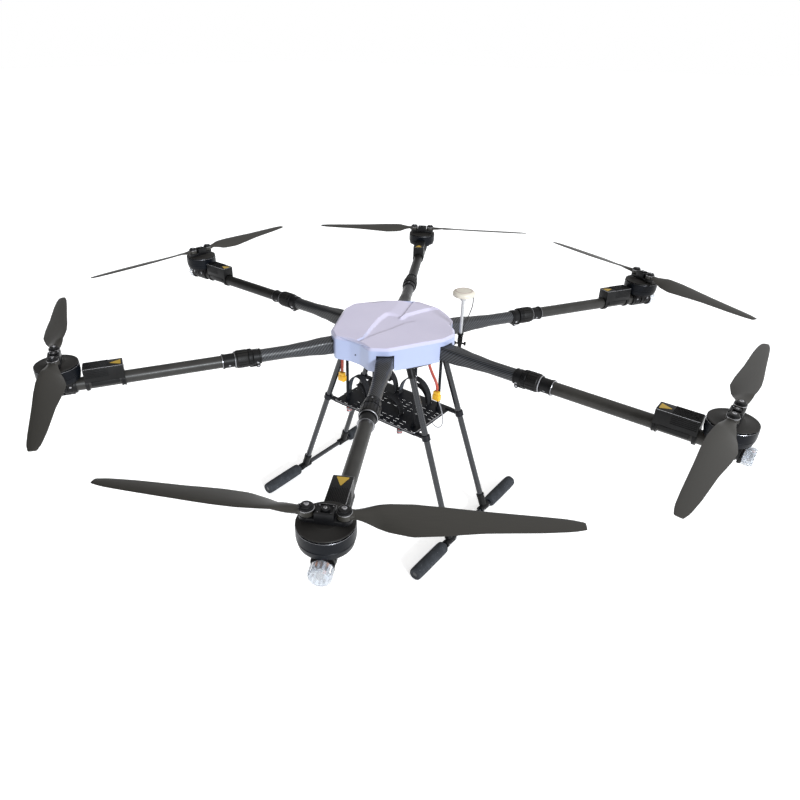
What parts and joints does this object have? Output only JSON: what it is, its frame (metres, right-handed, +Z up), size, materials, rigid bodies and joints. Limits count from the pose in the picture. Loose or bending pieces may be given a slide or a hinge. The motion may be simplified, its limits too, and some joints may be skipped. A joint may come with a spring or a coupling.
{
  "type": "hexacopter drone",
  "caption": "Multirotor drone with folding arms, two-blade folding propellers, skid landing gear, battery tray and antenna mast.",
  "frame": {"origin": "on the ground, under the middle of the airframe, half way between the skids", "axes": "+Z up, front along -Y, the drone's left along +X, skids along Y"},
  "size_m": [1.708, 1.7787, 0.649],
  "materials": {
    "canopy_shell": "satin, lavender white",
    "carbon_plate": "satin carbon laminate, stood in for by a matte plastic",
    "carbon_twill": "carbon twill laminate, stood in for by a matte plastic",
    "carbon_tube": "matte carbon tube, stood in for by a matte plastic",
    "black_anodised": "black anodised",
    "collar_black": "black anodised, knurled",
    "motor_black": "satin dark grey",
    "blade_grey": "matte dark grey",
    "gloss_tube": "glossy carbon tube",
    "foam_rubber": "matte foam",
    "webbing": "woven webbing",
    "antenna_white": "satin cream white",
    "cable_black": "matte",
    "lead_sheath": "red silicone",
    "plug_yellow": "moulded yellow nylon"
  },
  "bodies": {
    "airframe": {"canopy": "canopy_shell", "center_frame": "carbon_plate", "battery_tray": "black_anodised", "battery_strap_front": "webbing", "battery_strap_rear": "webbing", "leg_front_left": "gloss_tube", "leg_rear_left": "gloss_tube", "leg_front_right": "gloss_tube", "leg_rear_right": "gloss_tube", "skid_left": "foam_rubber", "skid_right": "foam_rubber", "power_lead_left": "lead_sheath", "power_lead_right": "lead_sheath", "power_plug_left": "plug_yellow", "power_plug_right": "plug_yellow", "gps_mount": "black_anodised", "arm_root_front_left": "carbon_twill", "arm_root_left": "carbon_twill", "arm_root_rear_left": "carbon_twill", "arm_root_rear_right": "carbon_twill", "arm_root_right": "carbon_twill", "arm_root_front_right": "carbon_twill"},
    "gps_mast": {"gps_mast": "antenna_white", "gps_cable": "cable_black"},
    "arm_front_left": {"arm_tube_front_left": "carbon_tube", "motor_mount_front_left": "black_anodised"},
    "collar_front_left": {"lock_collar_front_left": "collar_black"},
    "rotor_front_left": {"rotor_front_left": "motor_black"},
    "blade_a_front_left": {"blade_a_front_left": "blade_grey"},
    "blade_b_front_left": {"blade_b_front_left": "blade_grey"},
    "arm_left": {"arm_tube_left": "carbon_tube", "motor_mount_left": "black_anodised"},
    "collar_left": {"lock_collar_left": "collar_black"},
    "rotor_left": {"rotor_left": "motor_black"},
    "blade_a_left": {"blade_a_left": "blade_grey"},
    "blade_b_left": {"blade_b_left": "blade_grey"},
    "arm_rear_left": {"arm_tube_rear_left": "carbon_tube", "motor_mount_rear_left": "black_anodised"},
    "collar_rear_left": {"lock_collar_rear_left": "collar_black"},
    "rotor_rear_left": {"rotor_rear_left": "motor_black"},
    "blade_a_rear_left": {"blade_a_rear_left": "blade_grey"},
    "blade_b_rear_left": {"blade_b_rear_left": "blade_grey"},
    "arm_rear_right": {"arm_tube_rear_right": "carbon_tube", "motor_mount_rear_right": "black_anodised"},
    "collar_rear_right": {"lock_collar_rear_right": "collar_black"},
    "rotor_rear_right": {"rotor_rear_right": "motor_black"},
    "blade_a_rear_right": {"blade_a_rear_right": "blade_grey"},
    "blade_b_rear_right": {"blade_b_rear_right": "blade_grey"},
    "arm_right": {"arm_tube_right": "carbon_tube", "motor_mount_right": "black_anodised"},
    "collar_right": {"lock_collar_right": "collar_black"},
    "rotor_right": {"rotor_right": "motor_black"},
    "blade_a_right": {"blade_a_right": "blade_grey"},
    "blade_b_right": {"blade_b_right": "blade_grey"},
    "arm_front_right": {"arm_tube_front_right": "carbon_tube", "motor_mount_front_right": "black_anodised"},
    "collar_front_right": {"lock_collar_front_right": "collar_black"},
    "rotor_front_right": {"rotor_front_right": "motor_black"},
    "blade_a_front_right": {"blade_a_front_right": "blade_grey"},
    "blade_b_front_right": {"blade_b_front_right": "blade_grey"}
  },
  "joints": [
    {"name": "gps_mast_fold", "type": "hinge", "parent": "airframe", "child": "gps_mast", "pos_m": [0.15342, 0.07885, 0.52], "axis": [-0.4571, 0.8894, 0], "range_deg": [0, 90]},
    {"name": "arm_fold_front_left", "type": "hinge", "parent": "airframe", "child": "arm_front_left", "pos_m": [0.1815, -0.31437, 0.491], "axis": [0.866, 0.5, 0], "range_deg": [0, 70]},
    {"name": "arm_fold_left", "type": "hinge", "parent": "airframe", "child": "arm_left", "pos_m": [0.363, 0, 0.491], "axis": [0, 1, 0], "range_deg": [0, 70]},
    {"name": "arm_fold_rear_left", "type": "hinge", "parent": "airframe", "child": "arm_rear_left", "pos_m": [0.1815, 0.31437, 0.491], "axis": [-0.866, 0.5, 0], "range_deg": [0, 70]},
    {"name": "arm_fold_rear_right", "type": "hinge", "parent": "airframe", "child": "arm_rear_right", "pos_m": [-0.1815, 0.31437, 0.491], "axis": [-0.866, -0.5, 0], "range_deg": [0, 70]},
    {"name": "arm_fold_right", "type": "hinge", "parent": "airframe", "child": "arm_right", "pos_m": [-0.363, 0, 0.491], "axis": [0, -1, 0], "range_deg": [0, 70]},
    {"name": "arm_fold_front_right", "type": "hinge", "parent": "airframe", "child": "arm_front_right", "pos_m": [-0.1815, -0.31437, 0.491], "axis": [0.866, -0.5, 0], "range_deg": [0, 70]},
    {"name": "lock_collar_slide_front_left", "type": "slide", "parent": "arm_front_left", "child": "collar_front_left", "axis": [0.5, -0.866, 0], "range_m": [0, 0.012]},
    {"name": "lock_collar_slide_left", "type": "slide", "parent": "arm_left", "child": "collar_left", "axis": [1, 0, 0], "range_m": [0, 0.012]},
    {"name": "lock_collar_slide_rear_left", "type": "slide", "parent": "arm_rear_left", "child": "collar_rear_left", "axis": [0.5, 0.866, 0], "range_m": [0, 0.012]},
    {"name": "lock_collar_slide_rear_right", "type": "slide", "parent": "arm_rear_right", "child": "collar_rear_right", "axis": [-0.5, 0.866, 0], "range_m": [0, 0.012]},
    {"name": "lock_collar_slide_right", "type": "slide", "parent": "arm_right", "child": "collar_right", "axis": [-1, 0, 0], "range_m": [0, 0.012]},
    {"name": "lock_collar_slide_front_right", "type": "slide", "parent": "arm_front_right", "child": "collar_front_right", "axis": [-0.5, -0.866, 0], "range_m": [0, 0.012]},
    {"name": "rotor_spin_front_left", "type": "hinge", "parent": "arm_front_left", "child": "rotor_front_left", "pos_m": [0.4, -0.69282, 0.57], "axis": [0, 0, 1], "continuous": true},
    {"name": "rotor_spin_left", "type": "hinge", "parent": "arm_left", "child": "rotor_left", "pos_m": [0.8, 0, 0.57], "axis": [0, 0, 1], "continuous": true},
    {"name": "rotor_spin_rear_left", "type": "hinge", "parent": "arm_rear_left", "child": "rotor_rear_left", "pos_m": [0.4, 0.69282, 0.57], "axis": [0, 0, 1], "continuous": true},
    {"name": "rotor_spin_rear_right", "type": "hinge", "parent": "arm_rear_right", "child": "rotor_rear_right", "pos_m": [-0.4, 0.69282, 0.57], "axis": [0, 0, 1], "continuous": true},
    {"name": "rotor_spin_right", "type": "hinge", "parent": "arm_right", "child": "rotor_right", "pos_m": [-0.8, 0, 0.57], "axis": [0, 0, 1], "continuous": true},
    {"name": "rotor_spin_front_right", "type": "hinge", "parent": "arm_front_right", "child": "rotor_front_right", "pos_m": [-0.4, -0.69282, 0.57], "axis": [0, 0, 1], "continuous": true},
    {"name": "blade_a_fold_front_left", "type": "hinge", "parent": "rotor_front_left", "child": "blade_a_front_left", "pos_m": [0.42468, -0.67857, 0.585], "axis": [0, 0, 1], "range_deg": [-80, 80]},
    {"name": "blade_b_fold_front_left", "type": "hinge", "parent": "rotor_front_left", "child": "blade_b_front_left", "pos_m": [0.37532, -0.70707, 0.585], "axis": [0, 0, -1], "range_deg": [-80, 80]},
    {"name": "blade_a_fold_left", "type": "hinge", "parent": "rotor_left", "child": "blade_a_left", "pos_m": [0.8, 0.0285, 0.585], "axis": [0, 0, 1], "range_deg": [-80, 80]},
    {"name": "blade_b_fold_left", "type": "hinge", "parent": "rotor_left", "child": "blade_b_left", "pos_m": [0.8, -0.0285, 0.585], "axis": [0, 0, -1], "range_deg": [-80, 80]},
    {"name": "blade_a_fold_rear_left", "type": "hinge", "parent": "rotor_rear_left", "child": "blade_a_rear_left", "pos_m": [0.37532, 0.70707, 0.585], "axis": [0, 0, 1], "range_deg": [-80, 80]},
    {"name": "blade_b_fold_rear_left", "type": "hinge", "parent": "rotor_rear_left", "child": "blade_b_rear_left", "pos_m": [0.42468, 0.67857, 0.585], "axis": [0, 0, -1], "range_deg": [-80, 80]},
    {"name": "blade_a_fold_rear_right", "type": "hinge", "parent": "rotor_rear_right", "child": "blade_a_rear_right", "pos_m": [-0.42468, 0.67857, 0.585], "axis": [0, 0, 1], "range_deg": [-80, 80]},
    {"name": "blade_b_fold_rear_right", "type": "hinge", "parent": "rotor_rear_right", "child": "blade_b_rear_right", "pos_m": [-0.37532, 0.70707, 0.585], "axis": [0, 0, -1], "range_deg": [-80, 80]},
    {"name": "blade_a_fold_right", "type": "hinge", "parent": "rotor_right", "child": "blade_a_right", "pos_m": [-0.8, -0.0285, 0.585], "axis": [0, 0, 1], "range_deg": [-80, 80]},
    {"name": "blade_b_fold_right", "type": "hinge", "parent": "rotor_right", "child": "blade_b_right", "pos_m": [-0.8, 0.0285, 0.585], "axis": [0, 0, -1], "range_deg": [-80, 80]},
    {"name": "blade_a_fold_front_right", "type": "hinge", "parent": "rotor_front_right", "child": "blade_a_front_right", "pos_m": [-0.37532, -0.70707, 0.585], "axis": [0, 0, 1], "range_deg": [-80, 80]},
    {"name": "blade_b_fold_front_right", "type": "hinge", "parent": "rotor_front_right", "child": "blade_b_front_right", "pos_m": [-0.42468, -0.67857, 0.585], "axis": [0, 0, -1], "range_deg": [-80, 80]}
  ]
}
